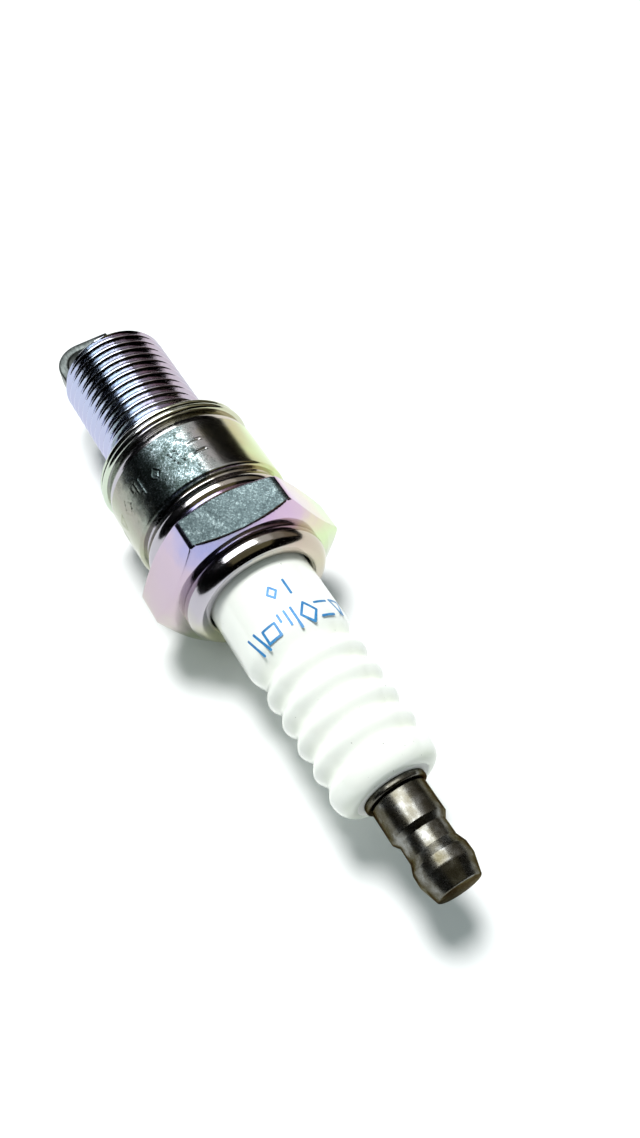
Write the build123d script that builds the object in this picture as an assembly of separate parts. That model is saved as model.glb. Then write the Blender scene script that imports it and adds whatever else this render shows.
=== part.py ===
from build123d import *
import os
from math import cos, pi, radians, tan

# Spark plug, 14 mm thread, 20.8 mm hexagon, lying on one hexagon flat.
# Stations along the plug are measured from the gasket seat: the terminal is towards +X and the
# firing end towards -X. Everything is drawn about the plug's own axis and moved at the end, so
# that the origin is the middle of the base. Millimetres.

# ---- driving dimensions -----------------------------------------------------------------------

# mounting thread
THREAD_R = 6.95
THREAD_PITCH = 1.25
THREAD_DEPTH = 0.74
REACH = 19.0
RIM_CHAMFER = 0.6
NECK_R = 6.10
NECK_LENGTH = 2.7
NECK_RAMP = 0.55

# shell
BARREL_R = 9.65
BARREL_EDGE = 0.85
BARREL_END = 9.75
BEAD_R = 9.35
BEAD_GROOVE_R = 8.75
HEX_AF = 20.8
HEX_REAR = 13.35
HEX_FRONT = 18.85
HEX_CHAMFER_DEG = 27.0
HEX_FACE_R = 10.0
CRIMP_R = 8.85
CRIMP_TOP = 21.3
CRIMP_MOUTH_R = 6.42
BORE_R = 7.85
CORE_BORE_R = 5.15
NOSE_BORE_R = 4.60
LEDGE = -7.6

# insulator
INSULATOR_R = 6.30
INSULATOR_END = 48.20
SHOULDER_R = 7.80
SHOULDER_TOP = 13.20
SHOULDER_BOTTOM = 5.60
CORE_R = 5.05
NOSE_TIP = -21.0
NOSE_TIP_R = 2.35
NOSE_ROOT_R = 3.60
GROOVE_COUNT = 5
GROOVE_FIRST = 31.75
GROOVE_STEP = 3.17
GROOVE_R = 5.55
LOBE_R = 6.15
TERMINAL_BORE_R = 1.95
ELECTRODE_BORE_R = 1.32
BORE_STEP = -3.2

# terminal stud and nut
COLLAR_R = 3.60
COLLAR_TOP = 48.95
STUD_THREAD_R = 1.98
STUD_PITCH = 0.70
STUD_THREAD_DEPTH = 0.40
STUD_END = 57.2
STUD_TIP_R = 1.55
STUD_SHANK_END = 14.6
STUD_TIP_END = 12.6
NUT_BASE = 49.05
NUT_BARREL_R = 3.20
NUT_BARREL_END = 52.75
NUT_NECK_R = 2.72
NUT_NECK_START = 53.55
NUT_NECK_END = 54.60
NUT_BALL_R = 3.175
NUT_BALL_START = 56.00
NUT_BALL_END = 57.80
NUT_TIP_R = 2.62
NUT_END = 59.90
NUT_BORE_R = 2.03
NUT_BORE_DEPTH = 8.75

# seals, resistor and electrodes
UPPER_SEAL_END = 9.2
RESISTOR_END = 1.6
LOWER_SEAL_END = -1.5
ELECTRODE_R = 1.25
ELECTRODE_HEAD_R = 1.88
ELECTRODE_TIP = -22.25
ELECTRODE_CORE_R = 0.62
SPARK_GAP = 1.10
STRAP_THICK = 1.35
STRAP_WIDTH = 2.70
STRAP_LEG_R = 5.60
STRAP_BEND_R = 1.95
STRAP_OVERHANG = 1.75

# packing and gasket
PACKING_WIRE_R = 0.75
TALC_LENGTH = 3.55
WASHER_THICK = 0.40
GASKET_SHEET = 0.36
GASKET_OUTER_R = 9.80
GASKET_INNER_R = 6.18
GASKET_HEIGHT = 1.50
GASKET_FOLD_R = 7.70
GASKET_STEP = 0.25
TOUCH_GAP = 0.02


def turned(*outline):
    """A solid of revolution about the plug's axis, from (station, radius) points."""
    face = make_face(Polyline(*outline, close=True))
    return revolve(face, axis=Axis.X)


def turned_face(face):
    """The same, from a face drawn with arcs and curves."""
    return revolve(face, axis=Axis.X)


def helical_groove(crest_r, pitch, depth, start, turns):
    """The 60 degree groove of a right-hand thread: single turns, joined end to end."""
    proud = 0.06
    crest_half = pitch * 7 / 16
    root_half = crest_half - depth * tan(radians(30))
    mouth_half = crest_half + proud * tan(radians(30))
    with BuildSketch(Plane.XZ) as profile:
        with BuildLine():
            Polyline(
                (crest_r - depth, -root_half),
                (crest_r - depth, root_half),
                (crest_r + proud, mouth_half),
                (crest_r + proud, -mouth_half),
                close=True,
            )
        make_face()
    one_turn = sweep(profile.sketch, path=Helix(pitch, pitch, crest_r), is_frenet=True)
    one_turn = Rot(0, 90, 0) * one_turn
    row = [Pos(start + turn * pitch, 0, 0) * one_turn for turn in range(turns)]
    return row[0].fuse(*row[1:])


def shell_outside():
    """The turned outside: thread blank, neck, barrel, heat-shrunk bead and crimped lip."""
    groove_half = 0.35
    with BuildSketch() as section:
        with BuildLine():
            Polyline(
                (-REACH, 0),
                (-REACH, THREAD_R - RIM_CHAMFER),
                (-REACH + RIM_CHAMFER, THREAD_R),
                (-NECK_LENGTH, THREAD_R),
                (-NECK_LENGTH + NECK_RAMP, NECK_R),
                (0, NECK_R),
                (0, BARREL_R - BARREL_EDGE),
            )
            RadiusArc(
                (0, BARREL_R - BARREL_EDGE),
                (BARREL_EDGE, BARREL_R),
                -BARREL_EDGE,
            )
            Line((BARREL_EDGE, BARREL_R), (BARREL_END - groove_half, BARREL_R))
            RadiusArc(
                (BARREL_END - groove_half, BARREL_R),
                (BARREL_END, BARREL_R - groove_half),
                -groove_half,
            )
            Line((BARREL_END, BARREL_R - groove_half), (BARREL_END + 0.15, BEAD_GROOVE_R))
            ThreePointArc(
                (BARREL_END + 0.15, BEAD_GROOVE_R),
                ((BARREL_END + HEX_REAR) / 2, BEAD_R),
                (HEX_REAR - 0.15, BEAD_GROOVE_R),
            )
            Polyline(
                (HEX_REAR - 0.15, BEAD_GROOVE_R),
                (HEX_REAR, BEAD_GROOVE_R),
                (HEX_FRONT, BEAD_GROOVE_R),
                (HEX_FRONT, CRIMP_R - 0.15),
            )
            ThreePointArc(
                (HEX_FRONT, CRIMP_R - 0.15),
                (HEX_FRONT + 0.75, CRIMP_R),
                (HEX_FRONT + 1.4, CRIMP_R - 0.4),
            )
            ThreePointArc(
                (HEX_FRONT + 1.4, CRIMP_R - 0.4),
                (CRIMP_TOP - 0.2, CRIMP_R - 1.0),
                (CRIMP_TOP, CRIMP_R - 1.7),
            )
            Polyline(
                (CRIMP_TOP, CRIMP_R - 1.7),
                (CRIMP_TOP - 0.35, CRIMP_MOUTH_R),
                (CRIMP_TOP - 0.35, 0),
                (-REACH, 0),
            )
        make_face()
    return turned_face(section.sketch)


def hexagon():
    """The spanner hexagon, with a turned chamfer on the corners at each end."""
    corner_r = HEX_AF / 2 / cos(pi / 6)
    fall = (corner_r + 0.5 - HEX_FACE_R) * tan(radians(HEX_CHAMFER_DEG))
    prism = extrude(Plane.YZ * RegularPolygon(corner_r, 6), HEX_FRONT - HEX_REAR)
    prism = Pos(HEX_REAR, 0, 0) * prism
    limits = turned(
        (HEX_REAR, 0),
        (HEX_REAR, HEX_FACE_R),
        (HEX_REAR + fall, corner_r + 0.5),
        (HEX_FRONT - fall, corner_r + 0.5),
        (HEX_FRONT, HEX_FACE_R),
        (HEX_FRONT, 0),
    )
    return prism & limits


def shell_bore():
    """The stepped bore: firing chamber, ledge, core and packing chamber under the crimp."""
    return turned(
        (-REACH - 1, 0),
        (-REACH - 1, NOSE_BORE_R),
        (LEDGE, NOSE_BORE_R),
        (LEDGE + 0.55, CORE_BORE_R),
        (2.9, CORE_BORE_R),
        (SHOULDER_BOTTOM - 0.1, BORE_R),
        (HEX_FRONT + 1.05, BORE_R),
        (HEX_FRONT + 1.35, CRIMP_MOUTH_R),
        (CRIMP_TOP + 1, CRIMP_MOUTH_R),
        (CRIMP_TOP + 1, 0),
    )


def metal_shell():
    body = shell_outside() + hexagon() - shell_bore()
    turns = round((REACH - NECK_LENGTH) / THREAD_PITCH) + 2
    thread = helical_groove(
        THREAD_R, THREAD_PITCH, THREAD_DEPTH, -REACH - THREAD_PITCH, turns
    )
    return body - thread


def insulator_outline():
    """The ceramic body: nose, seat cone, core, shoulder, glazed head and its five grooves."""
    lobe_half = GROOVE_STEP / 2
    with BuildSketch() as section:
        with BuildLine():
            Polyline(
                (INSULATOR_END, 0),
                (NOSE_TIP, 0),
                (NOSE_TIP, NOSE_TIP_R - 0.35),
                (NOSE_TIP + 0.35, NOSE_TIP_R),
                (LEDGE - 0.6, NOSE_ROOT_R),
                (LEDGE + WASHER_THICK - 0.1, NOSE_BORE_R - 0.12),
                (LEDGE + 1.1, CORE_R),
                (3.0, CORE_R),
                (SHOULDER_BOTTOM, SHOULDER_R),
                (SHOULDER_TOP - 0.3, SHOULDER_R),
                (SHOULDER_TOP, SHOULDER_R - 0.3),
                (SHOULDER_TOP, INSULATOR_R),
                (GROOVE_FIRST - lobe_half - 0.7, INSULATOR_R),
            )
            start = (GROOVE_FIRST - lobe_half - 0.7, INSULATOR_R)
            for turn in range(GROOVE_COUNT):
                valley = (GROOVE_FIRST + turn * GROOVE_STEP, GROOVE_R)
                crest = (GROOVE_FIRST + turn * GROOVE_STEP + lobe_half, LOBE_R)
                Spline(start, valley, tangents=[(1, 0), (1, 0)])
                Spline(valley, crest, tangents=[(1, 0), (1, 0)])
                start = crest
            Spline(
                start,
                (INSULATOR_END - 0.35, 5.05),
                (INSULATOR_END, 4.4),
                tangents=[(1, 0), (0, -1)],
            )
            Line((INSULATOR_END, 4.4), (INSULATOR_END, 0))
        make_face()
    return turned_face(section.sketch)


def insulator():
    bore = turned(
        (INSULATOR_END + 1, 0),
        (INSULATOR_END + 1, TERMINAL_BORE_R),
        (BORE_STEP + 0.4, TERMINAL_BORE_R),
        (BORE_STEP, ELECTRODE_BORE_R),
        (NOSE_TIP - 1, ELECTRODE_BORE_R),
        (NOSE_TIP - 1, 0),
    )
    return insulator_outline() - bore


def terminal_stud():
    """Steel stud: collar on the insulator's end, M4 thread above it, grooved tip in the seal."""
    shank_r = TERMINAL_BORE_R - 0.03
    stud = turned(
        (STUD_TIP_END, 0),
        (STUD_TIP_END, STUD_TIP_R),
        (STUD_SHANK_END, STUD_TIP_R),
        (STUD_SHANK_END, shank_r),
        (INSULATOR_END, shank_r),
        (INSULATOR_END, COLLAR_R - 0.15),
        (INSULATOR_END + 0.15, COLLAR_R),
        (COLLAR_TOP - 0.15, COLLAR_R),
        (COLLAR_TOP, COLLAR_R - 0.15),
        (COLLAR_TOP, STUD_THREAD_R - STUD_THREAD_DEPTH),
        (COLLAR_TOP + 0.7, STUD_THREAD_R - STUD_THREAD_DEPTH),
        (COLLAR_TOP + 0.7 + STUD_THREAD_DEPTH, STUD_THREAD_R),
        (STUD_END - STUD_THREAD_DEPTH, STUD_THREAD_R),
        (STUD_END, STUD_THREAD_R - STUD_THREAD_DEPTH),
        (STUD_END, 0),
    )
    for step in range(3):
        at = STUD_TIP_END + 0.35 + step * 0.55
        stud -= turned(
            (at, STUD_TIP_R - 0.2),
            (at, STUD_TIP_R + 1),
            (at + 0.3, STUD_TIP_R + 1),
            (at + 0.3, STUD_TIP_R - 0.2),
        )
    turns = round((STUD_END - COLLAR_TOP) / STUD_PITCH) + 1
    thread = helical_groove(
        STUD_THREAD_R, STUD_PITCH, STUD_THREAD_DEPTH, COLLAR_TOP + 0.5, turns
    )
    return stud - thread


def terminal_nut():
    """The screw-on terminal: barrel, snap neck and barrel-shaped contact, bored for the stud."""
    with BuildSketch() as section:
        with BuildLine():
            Polyline(
                (NUT_BASE, 0),
                (NUT_BASE, NUT_BARREL_R - 0.3),
                (NUT_BASE + 0.3, NUT_BARREL_R),
                (NUT_BARREL_END, NUT_BARREL_R),
                (NUT_NECK_START, NUT_NECK_R),
                (NUT_NECK_END, NUT_NECK_R),
            )
            Spline(
                (NUT_NECK_END, NUT_NECK_R),
                (NUT_BALL_START, NUT_BALL_R),
                tangents=[(1, 0.15), (1, 0)],
            )
            Line((NUT_BALL_START, NUT_BALL_R), (NUT_BALL_END, NUT_BALL_R))
            Spline(
                (NUT_BALL_END, NUT_BALL_R),
                (NUT_END - 0.2, NUT_TIP_R + 0.12),
                tangents=[(1, 0), (1, -0.45)],
            )
            Polyline(
                (NUT_END - 0.2, NUT_TIP_R + 0.12),
                (NUT_END, NUT_TIP_R - 0.12),
                (NUT_END, 0),
                (NUT_BASE, 0),
            )
        make_face()
    bore = turned(
        (NUT_BASE - 1, 0),
        (NUT_BASE - 1, NUT_BORE_R),
        (NUT_BASE + NUT_BORE_DEPTH, NUT_BORE_R),
        (NUT_BASE + NUT_BORE_DEPTH + 0.8, 0),
    )
    return turned_face(section.sketch) - bore


def glass_seals():
    """The two conductive seals: the upper one is a cup round the stud's tip."""
    r = TERMINAL_BORE_R
    upper = turned(
        (UPPER_SEAL_END, 0),
        (UPPER_SEAL_END, r),
        (STUD_SHANK_END, r),
        (STUD_SHANK_END, STUD_TIP_R),
        (STUD_TIP_END, STUD_TIP_R),
        (STUD_TIP_END, 0),
    )
    lower = turned((LOWER_SEAL_END, 0), (LOWER_SEAL_END, r), (RESISTOR_END, r), (RESISTOR_END, 0))
    return upper, lower


def resistor_element():
    r = TERMINAL_BORE_R
    return turned((RESISTOR_END, 0), (RESISTOR_END, r), (UPPER_SEAL_END, r), (UPPER_SEAL_END, 0))


def centre_electrode():
    """Nickel sheath with a head on the bore step, and the copper core that fills it."""
    core_from = ELECTRODE_TIP + 3.2
    sheath = turned(
        (ELECTRODE_TIP, 0),
        (ELECTRODE_TIP, ELECTRODE_R - 0.12),
        (ELECTRODE_TIP + 0.12, ELECTRODE_R),
        (BORE_STEP, ELECTRODE_R),
        (BORE_STEP + 0.4, ELECTRODE_HEAD_R),
        (LOWER_SEAL_END, ELECTRODE_HEAD_R),
        (LOWER_SEAL_END, 0),
    )
    core = turned(
        (core_from, 0),
        (core_from + 0.5, ELECTRODE_CORE_R),
        (LOWER_SEAL_END, ELECTRODE_CORE_R),
        (LOWER_SEAL_END, 0),
    )
    return sheath - core, core


def ground_electrode():
    """The strap: a leg welded on the rim at -Y, bent over the centre electrode towards +Y."""
    bar_mid = ELECTRODE_TIP - SPARK_GAP - STRAP_THICK / 2
    path = FilletPolyline(
        (-REACH, -STRAP_LEG_R),
        (bar_mid, -STRAP_LEG_R),
        (bar_mid, STRAP_OVERHANG),
        radius=STRAP_BEND_R,
    )
    section = Plane(origin=(-REACH, -STRAP_LEG_R, 0), z_dir=(-1, 0, 0)) * RectangleRounded(
        STRAP_WIDTH, STRAP_THICK, 0.25
    )
    return sweep(section, path=path)


def packing_rings():
    """Two wire rings and the talc ring pressed between them under the crimp."""
    ring_r = (BORE_R + INSULATOR_R) / 2
    lower_at = SHOULDER_TOP + PACKING_WIRE_R
    talc_from = SHOULDER_TOP + 2 * PACKING_WIRE_R
    upper_at = talc_from + TALC_LENGTH + PACKING_WIRE_R
    wire = Rot(0, 90, 0) * Torus(ring_r, PACKING_WIRE_R)
    talc = turned(
        (talc_from, INSULATOR_R),
        (talc_from, BORE_R),
        (talc_from + TALC_LENGTH, BORE_R),
        (talc_from + TALC_LENGTH, INSULATOR_R),
    )
    return Pos(lower_at, 0, 0) * wire, talc, Pos(upper_at, 0, 0) * wire


def seat_packing():
    """The thin conical washer between the shell's ledge and the insulator's seat cone."""
    return turned(
        (LEDGE + 0.02, NOSE_BORE_R + 0.02),
        (LEDGE + 0.57, CORE_BORE_R - 0.01),
        (LEDGE + 0.95, CORE_BORE_R - 0.01),
        (LEDGE + 0.40, NOSE_BORE_R + 0.02),
    )


def gasket():
    """The folded crush ring, an S of sheet steel: its rear leaf reaches in behind the thread."""
    t = GASKET_SHEET
    rear = -TOUCH_GAP
    front = rear - GASKET_HEIGHT
    leaf_gap = (GASKET_HEIGHT - 3 * t) / 2
    fold_r = (t + leaf_gap) / 2
    front_leaf = front + t / 2
    middle_leaf = front_leaf + 2 * fold_r
    rear_leaf = rear - t / 2
    inner_fold = GASKET_FOLD_R + fold_r
    outer_fold = GASKET_OUTER_R - fold_r - t / 2
    with BuildSketch() as section:
        with BuildLine():
            Line((front_leaf, GASKET_OUTER_R - GASKET_STEP), (front_leaf, inner_fold))
            ThreePointArc(
                (front_leaf, inner_fold),
                (front_leaf + fold_r, GASKET_FOLD_R),
                (middle_leaf, inner_fold),
            )
            Line((middle_leaf, inner_fold), (middle_leaf, outer_fold))
            ThreePointArc(
                (middle_leaf, outer_fold),
                (middle_leaf + fold_r, GASKET_OUTER_R - t / 2),
                (rear_leaf, outer_fold),
            )
            Line((rear_leaf, outer_fold), (rear_leaf, GASKET_INNER_R))
        trace(line_width=t)
    return turned_face(section.sketch)


def build():
    upper_seal, lower_seal = glass_seals()
    sheath, core = centre_electrode()
    lower_ring, talc, upper_ring = packing_rings()
    return {
        "metal_shell": metal_shell(),
        "gasket": gasket(),
        "insulator": insulator(),
        "terminal_stud": terminal_stud(),
        "terminal_nut": terminal_nut(),
        "upper_glass_seal": upper_seal,
        "resistor_element": resistor_element(),
        "lower_glass_seal": lower_seal,
        "centre_electrode": sheath,
        "centre_electrode_core": core,
        "ground_electrode": ground_electrode(),
        "lower_packing_ring": lower_ring,
        "talc_packing": talc,
        "upper_packing_ring": upper_ring,
        "seat_packing_washer": seat_packing(),
    }


# the middle of the plug's length stands over the origin, and the lowest flat lies on z = 0
firing_end = ELECTRODE_TIP - SPARK_GAP - STRAP_THICK
to_base = Pos(-(firing_end + NUT_END) / 2, 0, HEX_AF / 2)

os.makedirs("parts", exist_ok=True)
for name, piece in build().items():
    export_step(to_base * piece, f"parts/{name}.step")
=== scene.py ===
import math
from collections import namedtuple

import bmesh
import bpy
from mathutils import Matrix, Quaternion, Vector

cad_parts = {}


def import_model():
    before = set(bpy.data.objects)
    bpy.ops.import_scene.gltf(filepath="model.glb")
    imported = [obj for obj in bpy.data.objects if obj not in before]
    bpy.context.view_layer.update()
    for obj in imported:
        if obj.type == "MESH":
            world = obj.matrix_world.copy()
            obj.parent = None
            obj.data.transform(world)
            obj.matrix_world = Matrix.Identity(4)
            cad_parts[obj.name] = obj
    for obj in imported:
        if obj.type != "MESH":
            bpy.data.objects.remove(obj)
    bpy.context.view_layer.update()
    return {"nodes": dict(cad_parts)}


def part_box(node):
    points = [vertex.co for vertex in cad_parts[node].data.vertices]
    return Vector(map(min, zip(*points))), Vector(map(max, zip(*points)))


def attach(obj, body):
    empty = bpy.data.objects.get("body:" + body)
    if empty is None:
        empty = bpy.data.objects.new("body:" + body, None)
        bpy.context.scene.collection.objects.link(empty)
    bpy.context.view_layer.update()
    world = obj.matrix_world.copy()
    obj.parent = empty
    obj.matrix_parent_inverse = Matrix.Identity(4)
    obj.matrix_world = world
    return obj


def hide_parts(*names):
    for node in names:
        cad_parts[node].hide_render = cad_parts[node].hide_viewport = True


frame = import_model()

# Stations are millimetres along the plug from the gasket seat, positive towards the terminal, and
# angles go round the plug's axis from straight up towards +Y. Outlines are (station, radius) points.
MM = 0.001
REACH = 19.0
shell_low, shell_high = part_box("metal_shell")
SEAT_X = shell_low.x + REACH * MM
AXIS_Z = (shell_low.z + shell_high.z) / 2


def place(station, radius, angle):
    """The point at that station, radius (mm) and angle (radians), in metres in the frame."""
    return (
        SEAT_X + station * MM,
        radius * MM * math.sin(angle),
        AXIS_Z + radius * MM * math.cos(angle),
    )


# ---- dimensions, in millimetres ----------------------------------------------------------------

THREAD_R = 6.95
THREAD_PITCH = 1.25
THREAD_DEPTH = 0.74
THREAD_END = -2.15
THREAD_RUN_OUT = 1.15
RIM_CHAMFER = 0.6
NECK_R = 6.10

SEAT_FACE_R = 7.4
BARREL_R = 9.65
BARREL_EDGE = 1.25
BARREL_END = 9.75
BEAD_R = 9.35
BEAD_FROM = 10.55
BEAD_TO = 12.25
BEAD_GROOVE_R = 8.75

HEX_AF = (shell_high.z - shell_low.z) / MM
HEX_REAR = 13.35
HEX_FRONT = 18.85
HEX_FACE_R = 10.0
HEX_CHAMFER = math.radians(27)
HEX_EDGE_R = 1.15

CRIMP_R = 8.85
CRIMP_TOP = 21.3
CRIMP_MOUTH_R = 6.54
BORE_R = 7.85
CORE_BORE_R = 5.15
NOSE_BORE_R = 4.60

INSULATOR_R = 6.30
HEAD_FROM = 20.0
HEAD_END = 48.20
HEAD_END_R = 4.3
# The cosine that rounds the head's end is raised to this, and fuller the lower it is.
HEAD_END_POWER = 0.8
GROOVE_LEAD = 1.1
GROOVE_FIRST = 31.75
GROOVE_STEP = 3.17
GROOVE_COUNT = 5
GROOVE_R = 5.50
LOBE_R = 6.15
STUD_BORE_R = 1.95
PIN_BORE_R = 1.34

STUD_THREAD_R = 1.98
STUD_THREAD_PITCH = 0.70
STUD_THREAD_DEPTH = 0.40
NUT_BORE_R = 2.03

PIN_TIP = -22.25
SPARK_GAP = 1.10
STRAP_WIDTH = 2.70
STRAP_THICK = 1.35
STRAP_EDGE_R = 0.28
STRAP_LEG_R = 5.60
STRAP_BEND_R = 3.0
STRAP_OVERHANG = 1.75


# ---- mesh building -----------------------------------------------------------------------------


def solid(name, points, faces, materials, sharp, parts=None):
    """A closed mesh in the scene, with outward normals, soft but for edges over sharp degrees."""
    mesh = bpy.data.meshes.new(name)
    mesh.from_pydata(points, [], faces)
    for material in materials:
        mesh.materials.append(material)
    if parts:
        mesh.polygons.foreach_set("material_index", parts)
    work = bmesh.new()
    work.from_mesh(mesh)
    bmesh.ops.recalc_face_normals(work, faces=work.faces)
    work.to_mesh(mesh)
    work.free()
    mesh.shade_smooth()
    mesh.set_sharp_from_angle(angle=math.radians(sharp))
    piece = bpy.data.objects.new(name, mesh)
    bpy.context.scene.collection.objects.link(piece)
    return piece


class Skin:
    """A mesh made of rings round the plug's axis, bridged one to the next."""

    def __init__(self, angles):
        self.angles = angles
        self.points = []
        self.faces = []
        self.parts = []

    def point(self, station, radius, angle):
        self.points.append(place(station, radius, angle))
        return len(self.points) - 1

    def ring(self, station, radius, angles=None):
        """A closed ring. radius is a number, or a function of the angle."""
        made = []
        for angle in angles or self.angles:
            r = radius(angle) if callable(radius) else radius
            made.append(self.point(station, r, angle))
        return made

    def face(self, corners, part=0):
        """A face without its repeated corners, and none at all where fewer than three are left."""
        kept = [c for n, c in enumerate(corners) if c != corners[n - 1]]
        if len(set(kept)) > 2:
            self.faces.append(kept)
            self.parts.append(part)

    def bridge(self, first, second, part=0):
        count = len(first)
        for n in range(count):
            after = (n + 1) % count
            self.face((first[n], first[after], second[after], second[n]), part)

    def grow(self, last, outline, part=0):
        """Goes on from a ring through an outline's points, and gives the newest ring."""
        for station, radius in outline:
            ring = self.ring(station, radius)
            self.bridge(last, ring, part)
            last = ring
        return last

    def stitch(self, coarse, fine, part=0, fine_is_second=True):
        """Joins a ring to one of twice as many points."""
        count = len(coarse)
        for n in range(count):
            after = (n + 1) % count
            a, b, c = fine[2 * n], fine[2 * n + 1], fine[(2 * n + 2) % len(fine)]
            corners = (
                (coarse[n], b, a),
                (coarse[n], coarse[after], b),
                (coarse[after], c, b),
            )
            for corner in corners:
                self.face(corner if fine_is_second else corner[::-1], part)

    def close(self, ring, station, part=0, forward=True):
        """Fills a ring's inside with a fan to a point on the axis."""
        middle = self.point(station, 0, 0)
        count = len(ring)
        for n in range(count):
            pair = (ring[n], ring[(n + 1) % count])
            self.face((*(pair if forward else pair[::-1]), middle), part)

    def build(self, name, materials, sharp):
        return solid(name, self.points, self.faces, materials, sharp, self.parts)


def even_angles(columns):
    return [math.tau * n / columns for n in range(columns)]


def lathe(name, outline, columns, materials, sharp, part_at=None, looped=False):
    """A turned piece. Ends at radius 0 close to a point, and a looped outline joins its ends."""
    skin = Skin(even_angles(columns))
    rings = []
    for station, radius in outline:
        rings.append(skin.ring(station, radius) if radius > 0 else None)
    for n in range(1, len(outline)):
        part = part_at(outline[n]) if part_at else 0
        if rings[n - 1] is None:
            skin.close(rings[n], outline[n - 1][0], part, forward=False)
        elif rings[n] is None:
            skin.close(rings[n - 1], outline[n][0], part)
        else:
            skin.bridge(rings[n - 1], rings[n], part)
    if looped:
        skin.bridge(rings[-1], rings[0], part_at(outline[0]) if part_at else 0)
    return skin.build(name, materials, sharp)


def helix(skin, first, last, pitch, profile, radius_at, part=0):
    """A screw thread between two (station, radius) rings, which it gives back.

    profile lists one turn's (part of the pitch, part of the depth) rows, and radius_at gives the
    radius at a station and a depth.
    """
    start, end = first[0], last[0]
    first_ring, last_ring = skin.ring(*first), skin.ring(*last)
    turns = math.ceil((end - start) / pitch) + 1
    rows = [(turn + phase, depth) for turn in range(turns) for phase, depth in profile]
    # A point closer than this to an end ring would leave a sliver, so the ring's own point is used.
    sliver = pitch / len(profile) * 0.3
    columns = len(skin.angles)

    def corner(row, column):
        along, depth = rows[row]
        angle = skin.angles[column]
        station = start + pitch * (along - 1 + angle / math.tau)
        if station < start + sliver:
            return first_ring[column]
        if station > end - sliver:
            return last_ring[column]
        return skin.point(station, radius_at(station, depth), angle)

    grid = [[corner(row, column) for column in range(columns)] for row in range(len(rows))]

    def at(row, column):
        """A grid point. One column past the last is the first column, one turn further on."""
        if column < columns:
            return grid[row][column]
        row += len(profile)
        return grid[row][0] if row < len(rows) else last_ring[0]

    for row in range(len(rows) - 1):
        for column in range(columns):
            lower = (at(row, column), at(row, column + 1))
            upper = (at(row + 1, column + 1), at(row + 1, column))
            skin.face(lower + upper, part)
    return first_ring, last_ring


def arc(start, middle, end, count):
    """Points on the circle through three (station, radius) points, from start to end."""
    ax, ay = start
    bx, by = middle
    cx, cy = end
    a, b, c = ax**2 + ay**2, bx**2 + by**2, cx**2 + cy**2
    d = 2 * (ax * (by - cy) + bx * (cy - ay) + cx * (ay - by))
    ux = (a * (by - cy) + b * (cy - ay) + c * (ay - by)) / d
    uy = (a * (cx - bx) + b * (ax - cx) + c * (bx - ax)) / d
    radius = math.hypot(ax - ux, ay - uy)
    first = math.atan2(ay - uy, ax - ux)
    through = (math.atan2(by - uy, bx - ux) - first) % math.tau
    sweep = (math.atan2(cy - uy, cx - ux) - first) % math.tau
    if through > sweep:
        sweep -= math.tau
    turns = [first + sweep * n / count for n in range(count + 1)]
    return [(ux + radius * math.cos(t), uy + radius * math.sin(t)) for t in turns]


def rounded(corners, count):
    """An outline with rounded corners, from (station, radius, rounding) corners."""
    outline = []
    for n, (x, y, size) in enumerate(corners):
        if size <= 0 or n in (0, len(corners) - 1):
            outline.append((x, y))
            continue
        here = Vector((x, y))
        back = (Vector(corners[n - 1][:2]) - here).normalized()
        ahead = (Vector(corners[n + 1][:2]) - here).normalized()
        half = back.angle(ahead) / 2
        reach = size / math.tan(half)
        centre = here + (back + ahead).normalized() * (size / math.sin(half))
        edge = (here - centre).normalized() * size
        first, last = here + back * reach, here + ahead * reach
        outline += arc(first[:], (centre + edge)[:], last[:], count)
    return outline


def bends(start, tilt, legs, step=4.0):
    """An outline that turns through (radius, tilt) legs, tilts in degrees towards the axis."""
    station, radius = start
    outline = [start]
    for bend, target in legs:
        count = max(math.ceil(abs(target - tilt) / step), 2)
        turn = (target - tilt) / count
        for k in range(count):
            middle = math.radians(tilt + turn * (k + 0.5))
            length = bend * math.radians(abs(turn))
            station += length * math.cos(middle)
            radius -= length * math.sin(middle)
            outline.append((station, radius))
        tilt = target
    return outline


def eased(start, end, count):
    """Points from start to end whose radius changes as half a cosine wave."""
    made = []
    for k in range(1, count + 1):
        t = k / count
        ease = (1 - math.cos(math.pi * t)) / 2
        made.append((start[0] + (end[0] - start[0]) * t, start[1] + (end[1] - start[1]) * ease))
    return made


def thickened(path, half):
    """The two sides of a strip that follows a path, each half a thickness away from it."""
    left, right = [], []
    for n, point in enumerate(path):
        before, after = Vector(path[max(n - 1, 0)]), Vector(path[min(n + 1, len(path) - 1)])
        along = (after - before).normalized()
        across = Vector((-along.y, along.x)) * half
        left.append((Vector(point) + across)[:])
        right.append((Vector(point) - across)[:])
    return left, right


def soft_min(a, b, width):
    """The smaller of two values, with the corner between them rounded over."""
    mix = max(width - abs(a - b), 0.0) / width
    return min(a, b) - mix * mix * width / 4


def smooth(value):
    """A step from 0 to 1 with soft ends."""
    value = min(max(value, 0.0), 1.0)
    return value * value * (3 - 2 * value)


# ---- material building -------------------------------------------------------------------------


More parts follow.
